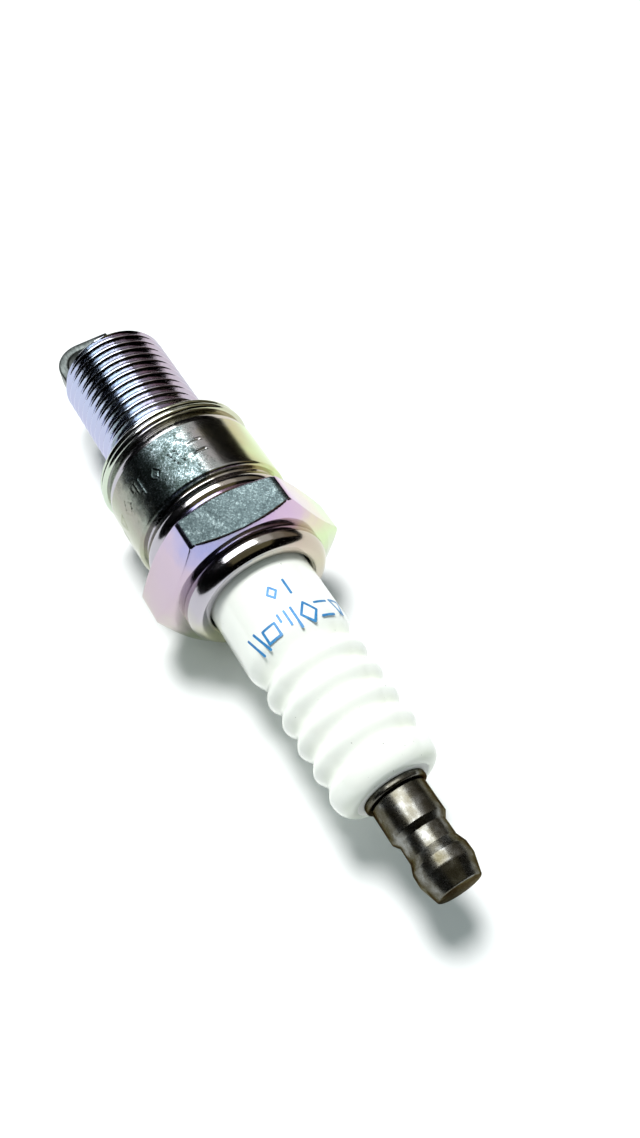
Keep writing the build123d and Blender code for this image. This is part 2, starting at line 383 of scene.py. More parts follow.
class Nodes:
    """A short way to write a material's node tree, with patterns measured in millimetres."""

    def __init__(self, name):
        self.material = bpy.data.materials.new(name)
        self.material.use_nodes = True
        self.tree = self.material.node_tree
        self.tree.nodes.clear()
        out = self.tree.nodes.new("ShaderNodeOutputMaterial")
        self.shader = self.tree.nodes.new("ShaderNodeBsdfPrincipled")
        self.tree.links.new(self.shader.outputs["BSDF"], out.inputs["Surface"])
        coords = self.tree.nodes.new("ShaderNodeTexCoord")
        self.normal = coords.outputs["Normal"]
        self.place = self.vector("MULTIPLY", coords.outputs["Object"], (1 / MM, 1 / MM, 1 / MM))
        self.height = self.math("SUBTRACT", self.axis(self.place, "Z"), AXIS_Z / MM)
        turn = self.math("ARCTAN2", self.axis(self.place, "Y"), self.height)
        self.around = self.math("ADD", self.math("DIVIDE", turn, math.tau), 0.5)

    def put(self, socket, value):
        if isinstance(value, bpy.types.NodeSocket):
            self.tree.links.new(value, socket)
        else:
            socket.default_value = value

    def math(self, operation, a, b=0.0, clamp=False):
        node = self.tree.nodes.new("ShaderNodeMath")
        node.operation = operation
        node.use_clamp = clamp
        self.put(node.inputs[0], a)
        self.put(node.inputs[1], b)
        return node.outputs[0]

    def scaled(self, value, size, base):
        """base plus size times the value."""
        return self.math("ADD", self.math("MULTIPLY", value, size), base)

    def vector(self, operation, a, b):
        node = self.tree.nodes.new("ShaderNodeVectorMath")
        node.operation = operation
        self.put(node.inputs[0], a)
        self.put(node.inputs[1], b)
        return node.outputs[0]

    def axis(self, vector, name):
        node = self.tree.nodes.new("ShaderNodeSeparateXYZ")
        self.put(node.inputs[0], vector)
        return node.outputs[name]

    def noise(self, scale, detail=3.0, roughness=0.55, distortion=0.0, stretch=(1, 1, 1)):
        node = self.tree.nodes.new("ShaderNodeTexNoise")
        self.put(node.inputs["Vector"], self.vector("MULTIPLY", self.place, stretch))
        node.inputs["Scale"].default_value = scale
        node.inputs["Detail"].default_value = detail
        node.inputs["Roughness"].default_value = roughness
        node.inputs["Distortion"].default_value = distortion
        return node.outputs["Fac"]

    def ramp(self, value, stops):
        """The value looked up in (place, grey or colour) stops."""
        node = self.tree.nodes.new("ShaderNodeValToRGB")
        self.put(node.inputs["Fac"], value)
        marks = node.color_ramp.elements
        while len(marks) < len(stops):
            marks.new(0.5)
        for mark, (at, colour) in zip(marks, stops):
            mark.position = at
            tone = colour if isinstance(colour, tuple) else (colour,) * 3
            mark.color = (*tone, 1)
        return node.outputs["Color"]

    def ramp_around(self, stops, drift=None, reach=0.0):
        """A ramp round the plug, from (degrees from straight up, grey or colour) stops.

        drift is a noise that moves the stops to and fro, by up to half of reach turns.
        """
        at = self.around
        if drift is not None:
            shift = self.math("MULTIPLY", self.math("SUBTRACT", drift, 0.5), reach)
            at = self.math("ADD", at, shift)
        return self.ramp(at, [(0.5 + degrees / 360, tone) for degrees, tone in stops])

    def mix(self, value, a, b, blend="MIX"):
        node = self.tree.nodes.new("ShaderNodeMix")
        node.data_type = "RGBA"
        node.blend_type = blend
        self.put(node.inputs[0], value)
        first, second = [s for s in node.inputs if s.type == "RGBA"]
        self.put(first, (*a, 1) if isinstance(a, tuple) else a)
        self.put(second, (*b, 1) if isinstance(b, tuple) else b)
        return [s for s in node.outputs if s.type == "RGBA"][0]

    def bump(self, height, strength, distance=0.02, normal=None):
        """distance is the height in millimetres that the pattern spans."""
        node = self.tree.nodes.new("ShaderNodeBump")
        node.inputs["Strength"].default_value = strength
        node.inputs["Distance"].default_value = distance * MM
        self.put(node.inputs["Height"], height)
        if normal is not None:
            self.put(node.inputs["Normal"], normal)
        return node.outputs["Normal"]

    def finish(self, **sockets):
        for name, value in sockets.items():
            socket = self.shader.inputs[name.replace("_", " ")]
            self.put(socket, (*value, 1) if isinstance(value, tuple) else value)
        return self.material


# ---- the shell's zinc plate --------------------------------------------------------------------

# Tints round each part: the passivation film's colour, partly painted reflection, the colours of the
# floor, room and lamp that the metal mirrors at each angle: (degrees from straight up, colour).
THREAD_TINTS_WITH_PAINTED_REFLECTION = (
    (-150, (0.50, 0.46, 0.55)), (-95, (0.47, 0.47, 0.64)), (-45, (0.46, 0.50, 0.68)),
    (-14, (0.66, 0.74, 0.86)), (25, (0.52, 0.40, 0.48)), (60, (0.50, 0.44, 0.52)),
    (120, (0.46, 0.48, 0.58)),
)
BARREL_TINTS_WITH_PAINTED_REFLECTION = (
    (-150, (0.46, 0.42, 0.44)), (-90, (0.44, 0.46, 0.34)), (-62, (0.42, 0.40, 0.34)),
    (-30, (0.36, 0.44, 0.38)), (-8, (0.44, 0.52, 0.50)), (14, (0.52, 0.50, 0.50)),
    (34, (0.50, 0.44, 0.24)), (62, (0.58, 0.67, 0.34)), (120, (0.48, 0.44, 0.46)),
)
HEXAGON_TINTS_WITH_PAINTED_REFLECTION = (
    (-120, (0.54, 0.57, 0.42)), (-85, (0.54, 0.44, 0.49)), (-52, (0.55, 0.44, 0.54)),
    (-26, (0.36, 0.36, 0.62)), (-4, (0.46, 0.43, 0.62)), (16, (0.59, 0.41, 0.62)),
    (40, (0.62, 0.46, 0.58)), (58, (0.68, 0.60, 0.46)), (82, (0.60, 0.72, 0.42)),
    (130, (0.50, 0.44, 0.50)),
)
CRIMP_TINTS_WITH_PAINTED_REFLECTION = (
    (-120, (0.50, 0.50, 0.34)), (-75, (0.44, 0.41, 0.46)), (-30, (0.44, 0.42, 0.46)),
    (0, (0.52, 0.50, 0.46)), (40, (0.52, 0.43, 0.36)), (80, (0.52, 0.48, 0.36)),
    (140, (0.46, 0.42, 0.46)),
)
GASKET_TINTS_WITH_PAINTED_REFLECTION = (
    (-120, (0.58, 0.66, 0.54)), (-60, (0.56, 0.62, 0.52)), (-15, (0.60, 0.60, 0.62)),
    (20, (0.52, 0.52, 0.34)), (60, (0.58, 0.58, 0.44)), (120, (0.58, 0.62, 0.52)),
)

# Where the plate is worn to dull crystals. zone lists (degrees from straight up, strength) round
# the plug, and flat is the strength on a face that looks straight up. tones are the crystals'
# colours, from the darkest to the few bright ones. The last field lists (degrees, brightness) of
# painted shade and painted light on the crystals, darker towards -Y and brighter towards +Y.
Wear = namedtuple("Wear", "zone flat tones shade")
COARSE_TONES = (
    (0.38, (0.004, 0.006, 0.005)), (0.44, (0.018, 0.026, 0.023)), (0.50, (0.044, 0.060, 0.057)),
    (0.55, (0.085, 0.115, 0.12)), (0.61, (0.40, 0.46, 0.48)),
)
FINE_TONES = (
    (0.36, (0.014, 0.020, 0.021)), (0.45, (0.032, 0.044, 0.046)), (0.54, (0.062, 0.084, 0.086)),
    (0.61, (0.19, 0.23, 0.23)),
)
# Painted shade and painted light on the worn crystals round the plug: (degrees, brightness).
ROUND_PAINTED_SHADE = ((-55, 0.42), (-32, 0.58), (-6, 1.08))
FLAT_PAINTED_SHADE = ((-28, 0.56), (28, 1.35))
THREAD_WEAR = Wear(
    zone=((-100, 0.0), (-36, 0.02), (-27, 0.42), (-5, 0.36), (8, 0.08), (60, 0.0)),
    flat=0.0,
    tones=COARSE_TONES,
    shade=ROUND_PAINTED_SHADE,
)
BARREL_WEAR = Wear(
    zone=((-100, 0.0), (-60, 0.30), (-42, 1.0), (-1, 1.0), (7, 0.0)),
    flat=0.0,
    tones=COARSE_TONES,
    shade=ROUND_PAINTED_SHADE,
)
HEXAGON_WEAR = Wear(
    zone=((-120, 0.0), (-62, 0.06), (-30, 0.0), (60, 0.04), (120, 0.0)),
    flat=1.0,
    tones=FINE_TONES,
    shade=FLAT_PAINTED_SHADE,
)

# A face starts to count as looking straight up where its normal's Z is over the first of these, and
# counts fully over the second.
FLAT_FROM, FLAT_FULL = 0.885, 0.915
CRYSTAL_SHARE = 0.75
WORN_ROUGHNESS = 0.13


def worn(n, wear, colour, rough, normal):
    """The plate's colour, roughness and normal again, with dull crystals over the worn places
    and painted shade and painted light on them round the plug.
    """
    zone = n.ramp_around(wear.zone, n.noise(0.8, 4.0, 0.7), 0.10)
    level = n.ramp(n.axis(n.normal, "Z"), [(FLAT_FROM, 0.0), (FLAT_FULL, wear.flat)])
    zone = n.math("MAXIMUM", zone, level)
    crystals = n.noise(4.0, 5.0, 0.86, distortion=0.8)
    patches = n.noise(0.5, 4.0, 0.65, distortion=0.8)
    tone = n.scaled(crystals, CRYSTAL_SHARE, n.math("MULTIPLY", patches, 1 - CRYSTAL_SHARE))
    # Painted shade and painted light: the crystals darkened towards -Y and lightened towards +Y.
    dull = n.mix(1.0, n.ramp(tone, wear.tones), n.ramp_around(wear.shade), "MULTIPLY")
    colour = n.mix(zone, colour, dull)
    rough = n.math("ADD", rough, n.math("MULTIPLY", zone, WORN_ROUGHNESS), clamp=True)
    normal = n.bump(n.math("MULTIPLY", crystals, zone), 0.25, 0.05, normal)
    return colour, rough, normal


def zinc(name, tints_with_painted_reflection, gloss, grain, relief=1.0, wear=None):
    """Zinc plate under a passivation film, tinted round the plug partly as painted reflection.

    gloss is the least roughness, grain is how much specks add to it, and relief is how far the
    specks stand out.
    """
    n = Nodes(name)
    # The film's tint round the plug, partly painted reflection and painted highlight by angle.
    colour = n.ramp_around(tints_with_painted_reflection, n.noise(0.22, 3.0), 0.16)
    specks = n.noise(3.4, 4.0, 0.7)
    scratches = n.noise(1.6, 3.0, 0.6, stretch=(0.25, 3.0, 3.0))
    rough = n.scaled(specks, grain, gloss)
    normal = n.bump(specks, (0.35 * grain + 0.04) * relief, 0.03)
    if wear:
        colour, rough, normal = worn(n, wear, colour, rough, normal)
    normal = n.bump(scratches, 0.10, 0.02, normal)
    return n.finish(Base_Color=colour, Metallic=1.0, Roughness=rough, Normal=normal)


# ---- the other materials -----------------------------------------------------------------------

# Painted shade in the grooves round the plug, faint on top and strongest on the sides:
# (degrees from straight up, amount).
PAINTED_GROOVE_SHADE_SIDES = ((-75, 0.7), (-38, 0.12), (18, 0.15), (48, 1.0))
# How much the grooves are tinted by radius, for glaze pooled there and painted shade in them:
# (millimetres over the base radius, amount).
GLAZE_BASE_R = 5.0
POOLED_GLAZE_AND_SHADE_DEPTHS = ((0.45, 1.0), (0.95, 0.0))


def glaze():
    """White glaze, greener in the grooves with pooled glaze and painted shade; rare dark flecks."""
    n = Nodes("glazed_alumina")
    cloud = n.noise(0.35, 3.0)
    fleck = n.noise(2.6, 2.0, 0.4)
    across = n.math("POWER", n.axis(n.place, "Y"), 2.0)
    radius = n.math("SQRT", n.math("ADD", across, n.math("POWER", n.height, 2.0)))
    colour = n.ramp(cloud, [(0.3, (0.88, 0.90, 0.845)), (0.7, (0.92, 0.93, 0.87))])
    # Glaze pooled in the grooves, and painted shade there, faint on top and strongest on the sides.
    pooled_glaze_and_painted_shade = n.ramp(n.math("SUBTRACT", radius, GLAZE_BASE_R), POOLED_GLAZE_AND_SHADE_DEPTHS)
    pooled_glaze_and_painted_shade = n.math("MULTIPLY", pooled_glaze_and_painted_shade, n.ramp_around(PAINTED_GROOVE_SHADE_SIDES))
    colour = n.mix(n.math("MULTIPLY", pooled_glaze_and_painted_shade, 0.55), colour, (0.70, 0.75, 0.58))
    colour = n.mix(n.ramp(fleck, [(0.765, 0.0), (0.78, 0.8)]), colour, (0.10, 0.09, 0.08))
    rough = n.ramp(cloud, [(0.3, 0.10), (0.7, 0.20)])
    normal = n.bump(n.noise(1.1, 2.0), 0.10, 0.02)
    return n.finish(
        Base_Color=colour, Roughness=rough, Normal=normal, Coat_Weight=0.3, Coat_Roughness=0.05
    )


def bisque():
    """Fired alumina without glaze."""
    n = Nodes("fired_alumina")
    fine = n.noise(5.0, 4.0)
    colour = n.ramp(fine, [(0.3, (0.78, 0.78, 0.74)), (0.7, (0.86, 0.86, 0.83))])
    return n.finish(Base_Color=colour, Roughness=0.7, Normal=n.bump(fine, 0.25, 0.01))


def print_ink():
    n = Nodes("blue_ink")
    film = n.noise(3.0, 3.0)
    colour = n.ramp(film, [(0.3, (0.016, 0.15, 0.40)), (0.7, (0.045, 0.27, 0.56))])
    return n.finish(Base_Color=colour, Roughness=0.35, Normal=n.bump(film, 0.1, 0.005))


def bronze():
    """The terminal's satin brown-grey nickel, with turning marks and worn lighter patches."""
    n = Nodes("terminal_metal")
    patch = n.noise(0.6, 4.0, 0.6)
    turning = n.noise(2.4, 3.0, 0.6, stretch=(3.0, 0.35, 0.35))
    grit = n.noise(6.0, 3.0, 0.7)
    stops = [(0.30, (0.072, 0.064, 0.040)), (0.50, (0.122, 0.116, 0.097)), (0.68, (0.26, 0.26, 0.248))]
    normal = n.bump(grit, 0.12, 0.02)
    return n.finish(
        Base_Color=n.ramp(patch, stops),
        Metallic=1.0,
        Roughness=n.scaled(grit, 0.22, 0.17),
        Normal=n.bump(turning, 0.14, 0.02, normal),
        Specular_Tint=(0.24, 0.21, 0.14),
    )


def nickel():
    """Drawn nickel alloy, streaked along the plug."""
    n = Nodes("nickel_alloy")
    drawn = n.noise(1.5, 4.0, 0.6, stretch=(0.5, 2.0, 2.0))
    grit = n.noise(5.0, 3.0)
    colour = n.ramp(drawn, [(0.3, (0.040, 0.046, 0.044)), (0.7, (0.10, 0.11, 0.105))])
    rough = n.scaled(grit, 0.25, 0.18)
    return n.finish(Base_Color=colour, Metallic=1.0, Roughness=rough, Normal=n.bump(grit, 0.15, 0.02))


def powder(name, dark, light, metallic=0.0, roughness=0.8):
    """Pressed or fused filling: a grainy two-tone surface."""
    n = Nodes(name)
    grains = n.noise(7.0, 5.0, 0.7)
    colour = n.ramp(grains, [(0.35, dark), (0.65, light)])
    return n.finish(
        Base_Color=colour, Metallic=metallic, Roughness=roughness, Normal=n.bump(grains, 0.4, 0.03)
    )


def paper():
    n = Nodes("white_paper")
    fibre = n.noise(0.08, 4.0, 0.6)
    colour = n.ramp(fibre, [(0.3, (0.895, 0.90, 0.90)), (0.7, (0.91, 0.915, 0.912))])
    return n.finish(Base_Color=colour, Roughness=0.85, Normal=n.bump(fibre, 0.05, 0.2))


# ---- marks -------------------------------------------------------------------------------------


def closed(*corners):
    """The strokes round a closed shape."""
    return tuple(zip(corners, corners[1:] + corners[:1]))


# Each mark is strokes in a box one unit high: (from, to) points, across and along.
MARKS = {
    "diamond": closed((0.0, 0.5), (0.35, 1.0), (0.7, 0.5), (0.35, 0.0)),
    "steps": (((0.0, 0.0), (0.0, 0.35)), ((0.3, 0.0), (0.3, 0.68)), ((0.6, 0.0), (0.6, 1.0))),
    "slants": (((0.0, 0.0), (0.3, 1.0)), ((0.38, 0.0), (0.68, 1.0))),
    "square": closed((0.0, 0.2), (0.6, 0.2), (0.6, 0.8), (0.0, 0.8)),
    "triangle": closed((0.0, 0.1), (0.7, 0.1), (0.35, 0.85)),
    "dashes": (((0.0, 0.15), (0.6, 0.15)), ((0.0, 0.85), (0.6, 0.85))),
    "short": (((0.3, 0.3), (0.3, 1.0)),),
    "gem": closed((0.12, 0.62), (0.32, 0.9), (0.52, 0.62), (0.32, 0.34)),
}

STAMP_ROW = ("square", "triangle", "diamond", "steps", "gem", "slants", "dashes")
STAMP_FROM = 4.4
STAMP_HEIGHT = 2.3
STAMP_FIRST = math.radians(-103)
STAMP_TURN = math.radians(17)
STAMP_MARGIN = 0.2
STAMP_WIDTH = 0.24
STAMP_DEPTH = 0.065
STAMP_LIP = 0.03
STAMP_LIP_WIDTH = 0.14

PRINT_ROW = (
    ("slants", -46), ("square", -27), ("steps", -6), ("diamond", 14), ("dashes", 34), ("triangle", 55),
)
PRINT_UPPER = (("gem", -6), ("short", 11))
PRINT_FROM = 27.6
PRINT_UPPER_FROM = 23.3
PRINT_HEIGHT = 2.7
PRINT_MIDDLE = 0.3
INK_WIDTH = 0.29
INK_FILM = 0.018
INK_STEP = 0.25
INK_SIDES = (-1.0, -0.33, 0.33, 1.0)
# A stroke's rounded end, in shares of half its width: (how far past the end, how wide there).
INK_TIP = ((0.9, 0.45), (0.5, 0.85))


def stroke_distance(x, y, strokes):
    """How far a point is from the nearest of some strokes."""
    nearest = math.inf
    for (ax, ay), (bx, by) in strokes:
        dx, dy = bx - ax, by - ay
        t = ((x - ax) * dx + (y - ay) * dy) / (dx * dx + dy * dy)
        t = min(max(t, 0.0), 1.0)
        nearest = min(nearest, math.hypot(x - ax - t * dx, y - ay - t * dy))
    return nearest


def stamp_depth(station, angle):
    """How deep the barrel's stamped marks are at a point, below 0 on the lips they throw up."""
    turn = (angle - STAMP_FIRST) % math.tau
    index = int(turn / STAMP_TURN)
    if index >= len(STAMP_ROW):
        return 0.0
    across = (turn - index * STAMP_TURN) * BARREL_R / STAMP_HEIGHT - STAMP_MARGIN
    along = (station - STAMP_FROM) / STAMP_HEIGHT
    away = stroke_distance(across, along, MARKS[STAMP_ROW[index]]) * STAMP_HEIGHT
    groove = 1 - smooth((away - STAMP_WIDTH * 0.18) / (STAMP_WIDTH * 0.5))
    lip = smooth(1 - abs(away - STAMP_WIDTH * 0.8) / STAMP_LIP_WIDTH)
    return STAMP_DEPTH * groove - STAMP_LIP * lip


def ink_rows(length):
    """Rows along a stroke with rounded ends: (how far along, share of its width)."""
    half = INK_WIDTH / 2
    spans = max(int(length / INK_STEP), 1)
    rows = [(-half * past, width) for past, width in INK_TIP]
    rows += [(length * k / spans, 1.0) for k in range(spans + 1)]
    return rows + [(length + half * past, width) for past, width in reversed(INK_TIP)]


def film_faces(start, rows, columns):
    """The faces of a closed film: a grid of points, the same grid under it, and walls between."""
    under = rows * columns
    faces = []
    for row in range(rows - 1):
        first = start + row * columns
        for top in range(first, first + columns - 1):
            upper = (top, top + 1, top + columns + 1, top + columns)
            faces += [upper, tuple(corner + under for corner in reversed(upper))]
        for top in (first, first + columns - 1):
            faces.append((top, top + columns, top + columns + under, top + under))
    for first in (start, start + (rows - 1) * columns):
        for top in range(first, first + columns - 1):
            faces.append((top, top + 1, top + 1 + under, top + under))
    return faces


def printed_marks(ink):
    """Abstract printed marks, each stroke a thin closed film that follows the ceramic."""
    points, faces = [], []

    def stroke(a, b, station, angle):
        length = math.dist(a, b)
        along = ((b[0] - a[0]) / length, (b[1] - a[1]) / length)
        rows = ink_rows(length)
        faces.extend(film_faces(len(points), len(rows), len(INK_SIDES)))
        for level in (INK_FILM, -INK_FILM):
            for reach, width in rows:
                for offset in INK_SIDES:
                    side = INK_WIDTH / 2 * width * offset
                    x = a[0] + along[0] * reach - along[1] * side
                    y = a[1] + along[1] * reach + along[0] * side
                    points.append(place(station + y, INSULATOR_R + level, angle + x / INSULATOR_R))

    marks = [(name, PRINT_FROM, degrees) for name, degrees in PRINT_ROW]
    marks += [(name, PRINT_UPPER_FROM, degrees) for name, degrees in PRINT_UPPER]
    for name, station, degrees in marks:
        for ends in MARKS[name]:
            a, b = [((x - PRINT_MIDDLE) * PRINT_HEIGHT, y * PRINT_HEIGHT) for x, y in ends]
            stroke(a, b, station, math.radians(degrees))
    return solid("printed_marks", points, faces, [ink], sharp=60)


# ---- the metal shell ---------------------------------------------------------------------------

THREAD_PLATE, BARREL_PLATE, HEXAGON_PLATE, CRIMP_PLATE = range(4)

# One turn of the thread, from crest to crest: (part of the pitch, part of the depth).
SHELL_PROFILE = (
    (0.00, 0.00), (0.07, 0.005), (0.12, 0.04), (0.17, 0.17), (0.25, 0.38), (0.33, 0.59),
    (0.42, 0.82), (0.50, 1.00), (0.58, 0.82), (0.67, 0.59), (0.75, 0.38), (0.83, 0.17),
    (0.88, 0.04), (0.93, 0.005),
)

# Columns on each side of the hexagon's edges, in degrees from the edge, and then to mid-flat.
EDGE_COLUMNS = (0.0, 0.4, 0.8, 1.15, 1.5, 1.9, 2.6, 3.6, 4.9)
FLAT_COLUMNS = 12

# How far in from the hexagon's two faces it has rings, close together across its chamfers.
HEX_RINGS = (
    0.015, 0.05, 0.10, 0.16, 0.22, 0.29, 0.37, 0.46, 0.55, 0.64, 0.73, 0.82, 0.91, 1.0, 1.1, 1.35,
)
# Its other rings, from the middle of its length.
HEX_MIDDLE = (-0.9, 0.0, 0.9)

STAMPED_FROM = 3.6
STAMPED_TO = 7.6
STAMPED_ROWS = 40

# The crimp's rolled lip, from its foot to its top: (bending radius, tilt in degrees).
CRIMP_BENDS = ((0.9, -8), (2.6, 12), (1.7, 55), (0.8, 88))


def hexagon_radius(angle):
    """The hexagon's edge at an angle, a flat facing straight up, its six edges rounded."""
    third = math.pi / 3
    off = abs((angle + third / 2) % third - third / 2)
    apothem = HEX_AF / 2
    centre = (apothem - HEX_EDGE_R) / math.cos(third / 2)
    tangent = math.atan((apothem - HEX_EDGE_R) * math.tan(third / 2) / apothem)
    if off <= tangent:
        return apothem / math.cos(off)
    turn = third / 2 - off
    return centre * math.cos(turn) + math.sqrt(HEX_EDGE_R**2 - (centre * math.sin(turn)) ** 2)


def shell_angles():
    """Columns round the shell, close together at the hexagon's six edges."""
    last = EDGE_COLUMNS[-1]
    even = [last + (30 - last) * k / FLAT_COLUMNS for k in range(1, FLAT_COLUMNS + 1)]
    to_edge = sorted(30 - column for column in (*EDGE_COLUMNS, *even))
    sector = to_edge + [60 - column for column in reversed(to_edge)][1:-1]
    return [math.radians(60 * k + column) for k in range(6) for column in sector]


def between(angles):
    """The same columns, with one more half way between each two."""
    made = []
    for angle, after in zip(angles, [*angles[1:], math.tau]):
        made += [angle, (angle + after) / 2]
    return made


def shell_thread(skin):
    """The thread, from the rim's chamfer to its run-out at the neck: its two end rings."""

    def radius_at(station, depth):
        wall = THREAD_R - THREAD_DEPTH * depth
        chamfer = THREAD_R - RIM_CHAMFER + (station + REACH)
        run_out = (THREAD_END - station) / THREAD_RUN_OUT * (THREAD_R - NECK_R) + NECK_R
        return soft_min(soft_min(wall, chamfer, 0.06), run_out, 0.08)

    rim = (-REACH + RIM_CHAMFER * 0.25, THREAD_R - RIM_CHAMFER * 0.75)
    neck = (THREAD_END, NECK_R)
    return helix(skin, rim, neck, THREAD_PITCH, SHELL_PROFILE, radius_at, THREAD_PLATE)


def shell_seat(skin, last):
    """The neck's end, the gasket seat and the barrel's front edge with its small step."""
    neck = [(-0.25, NECK_R), (-0.06, NECK_R + 0.04), (0.0, NECK_R + 0.15)]
    edge = [(0.0, SEAT_FACE_R)]
    edge += arc((0.0, BARREL_R - BARREL_EDGE), (0.42, BARREL_R - 0.58), (1.30, BARREL_R - 0.11), 9)
    edge += [(1.60, BARREL_R - 0.075), (1.88, BARREL_R - 0.055), (1.93, BARREL_R)]
    last = skin.grow(last, neck, THREAD_PLATE)
    return skin.grow(last, edge, CRIMP_PLATE)


def stamped_barrel(skin, last):
    """The barrel's wall, with twice the columns and close rows where its marks are stamped."""
    last = skin.grow(last, [(station, BARREL_R) for station in (2.2, 2.8, 3.4)], BARREL_PLATE)
    fine = between(skin.angles)
    rows = []
    for row in range(STAMPED_ROWS + 1):
        station = STAMPED_FROM + (STAMPED_TO - STAMPED_FROM) * row / STAMPED_ROWS
        rows.append(skin.ring(station, lambda angle: BARREL_R - stamp_depth(station, angle), fine))
    skin.stitch(last, rows[0], BARREL_PLATE)
    for row, above in zip(rows, rows[1:]):
        skin.bridge(row, above, BARREL_PLATE)
    last = skin.ring(STAMPED_TO + 0.2, BARREL_R)
    skin.stitch(last, rows[-1], BARREL_PLATE, fine_is_second=False)
    return last


def shell_bead(skin, last):
    """The barrel's rear edge, and the groove, the bead and the bead's foot."""
    rear = [(8.6, BARREL_R)]
    rear += arc((9.25, BARREL_R), (9.58, BARREL_R - 0.1), (BARREL_END, BARREL_R - 0.42), 6)
    rear += [(BARREL_END + 0.05, BEAD_GROOVE_R + 0.1)]
    side = BEAD_GROOVE_R + 0.20
    bead = [(BARREL_END + 0.24, BEAD_GROOVE_R), (BARREL_END + 0.34, BEAD_GROOVE_R)]
    bead += [(BEAD_FROM - 0.06, BEAD_GROOVE_R + 0.12)]
    bead += arc((BEAD_FROM, side), ((BEAD_FROM + BEAD_TO) / 2, BEAD_R), (BEAD_TO, side), 16)
    bead += [(BEAD_TO + 0.16, BEAD_GROOVE_R + 0.06), (BEAD_TO + 0.62, BEAD_GROOVE_R - 0.13)]
    bead += [(HEX_REAR - 0.12, BEAD_GROOVE_R + 0.02)]
    last = skin.grow(last, rear, BARREL_PLATE)
    return skin.grow(last, bead, CRIMP_PLATE)


def shell_hexagon(skin, last):
    """The hexagon, with its two turned chamfers."""

    def chamfered(station):
        inward = min(station - HEX_REAR, HEX_FRONT - station)
        cone = HEX_FACE_R + inward / math.tan(HEX_CHAMFER)
        return lambda angle: soft_min(hexagon_radius(angle), cone, 0.10)

    middle = (HEX_REAR + HEX_FRONT) / 2
    stations = [HEX_REAR + inward for inward in HEX_RINGS]
    stations += [middle + offset for offset in HEX_MIDDLE]
    stations += [HEX_FRONT - inward for inward in reversed(HEX_RINGS)]
    outline = [(HEX_REAR, BEAD_GROOVE_R + 0.12), (HEX_REAR, HEX_FACE_R - 0.06)]
    outline += [(station, chamfered(station)) for station in stations]
    outline += [(HEX_FRONT, HEX_FACE_R - 0.06), (HEX_FRONT, 9.4), (HEX_FRONT, CRIMP_R - 0.14)]
    return skin.grow(last, outline, HEXAGON_PLATE)


def crimp_and_bore(skin, last):
    """The crimped lip, and the bore from the lip's mouth back to the rim."""
    lip = bends((HEX_FRONT, CRIMP_R - 0.16), -35, CRIMP_BENDS)
    lip += [(CRIMP_TOP, 7.15), (CRIMP_TOP - 0.04, 6.90), (CRIMP_TOP - 0.13, 6.72)]
    lip += [(CRIMP_TOP - 0.28, 6.60), (CRIMP_TOP - 0.45, CRIMP_MOUTH_R)]
    lip += [(HEX_FRONT + 1.35, CRIMP_MOUTH_R), (HEX_FRONT + 1.05, BORE_R), (5.5, BORE_R)]
    bore = [(2.9, CORE_BORE_R), (-7.05, CORE_BORE_R), (-7.6, NOSE_BORE_R)]
    bore += [(-REACH + 0.12, NOSE_BORE_R), (-REACH, NOSE_BORE_R + 0.12)]
    rim = THREAD_R - RIM_CHAMFER
    bore += [(-REACH, rim - 0.1), (-REACH + 0.02, rim - 0.01)]
    last = skin.grow(last, lip, CRIMP_PLATE)
    return skin.grow(last, bore, THREAD_PLATE)


def metal_shell(plates):
    """The shell, ring by ring, up its outside from the rim and back down its bore."""
    skin = Skin(shell_angles())
    rim, last = shell_thread(skin)
    for section in (shell_seat, stamped_barrel, shell_bead, shell_hexagon, crimp_and_bore):
        last = section(skin, last)
    skin.bridge(last, rim, THREAD_PLATE)
    return skin.build("plated_shell", plates, sharp=40)


# ---- the other pieces --------------------------------------------------------------------------


def gasket(metal):
    """The folded crush ring: a front leaf, a middle leaf and a rear leaf in one S of sheet."""
    sheet, outer, inner, fold = 0.36, 9.80, 6.18, 7.70
    rear, front = -0.02, -1.52
    half = sheet / 2
    bend = (rear - front - sheet) / 4
    first, second, third = front + half, front + half + 2 * bend, rear - half
    edge = outer - 0.25
    inner_bend, outer_bend = fold + bend, outer - bend - half
    path = [(first, edge), (first, inner_bend + half)]
    path += arc((first, inner_bend), (first + bend, fold), (second, inner_bend), 8)
    path += arc((second, outer_bend), (second + bend, outer - half), (third, outer_bend), 10)
    path += [(third, 7.2), (third, inner)]
    left, right = thickened(path, half)
    free_edge = [(first - half / 2, edge + 0.06), (first + half / 2, edge + 0.06)]
    outline = left + right[::-1] + free_edge
    return lathe("crush_gasket", outline, 192, [metal], sharp=50, looped=True)


def insulator_head():
    """The glazed head's outline: plain by the shell, then grooved, then rounded at its end."""
    last = (GROOVE_FIRST - GROOVE_STEP / 2 - GROOVE_LEAD, INSULATOR_R)
    outline = [(HEAD_FROM + k, INSULATOR_R) for k in range(1, 9)] + [last]
    for turn in range(GROOVE_COUNT):
        valley = (GROOVE_FIRST + turn * GROOVE_STEP, GROOVE_R)
        crest = (valley[0] + GROOVE_STEP / 2, LOBE_R)
        outline += eased(last, valley, 9) + eased(valley, crest, 9)
        last = crest
    length, drop, steps = HEAD_END - last[0], LOBE_R - HEAD_END_R, 14
    for k in range(1, steps + 1):
        turn = math.pi / 2 * k / steps
        radius = HEAD_END_R + drop * math.cos(turn) ** HEAD_END_POWER
        outline.append((last[0] + length * math.sin(turn), radius))
    return outline


